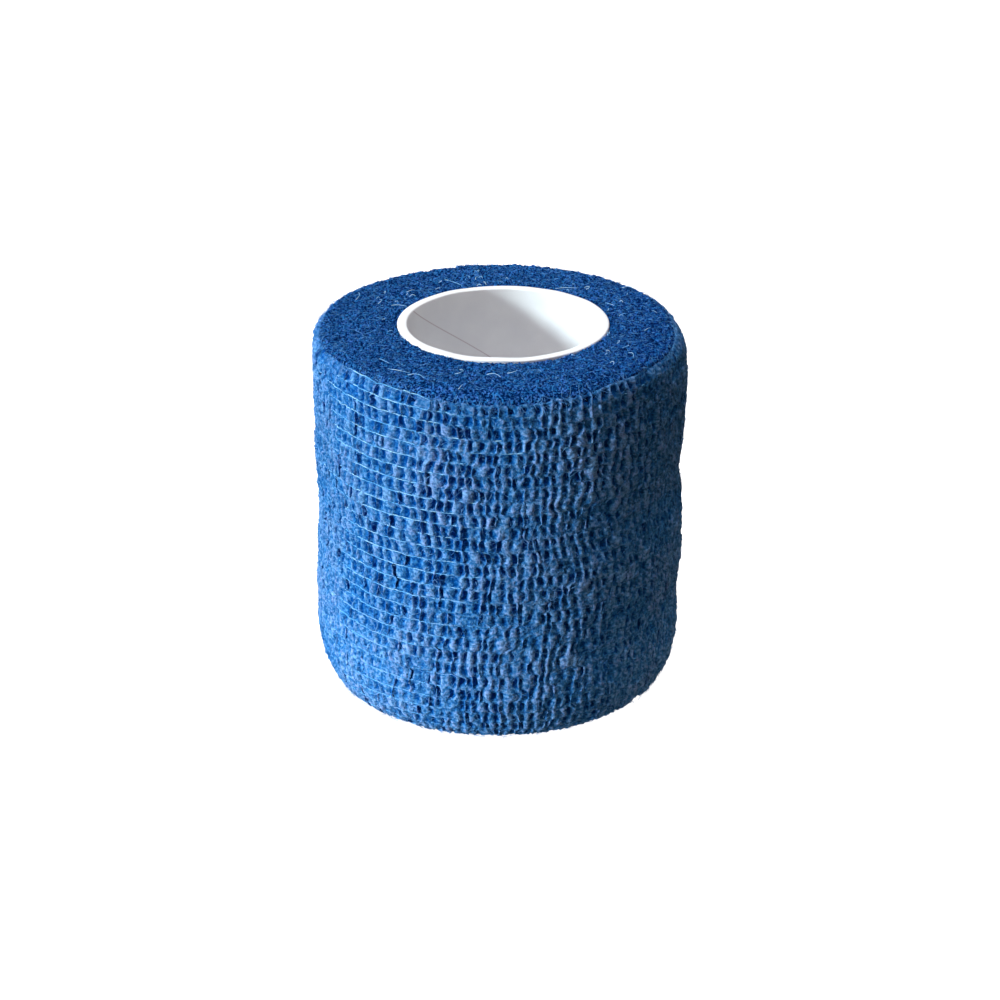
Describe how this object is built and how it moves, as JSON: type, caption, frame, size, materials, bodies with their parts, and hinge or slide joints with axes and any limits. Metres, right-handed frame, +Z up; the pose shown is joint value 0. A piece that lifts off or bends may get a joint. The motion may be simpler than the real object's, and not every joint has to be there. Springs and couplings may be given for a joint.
{
  "type": "cohesive bandage roll",
  "caption": "Cohesive bandage roll: a ribbed strip of elastic crepe wound on a plain white tube, standing on one end.",
  "frame": {"origin": "centre of the roll's base, on the surface that it stands on", "axes": "+Z up along the roll's axis; the side that the picture shows faces -Y, and +X is to its right"},
  "size_m": [0.0502, 0.0499, 0.0501],
  "materials": {
    "crepe_cloth": "matt non-woven crepe with elastic yarns",
    "white_core": "smooth satin white"
  },
  "bodies": {
    "root": {"bandage_roll": "crepe_cloth", "core_tube": "white_core"}
  },
  "joints": []
}
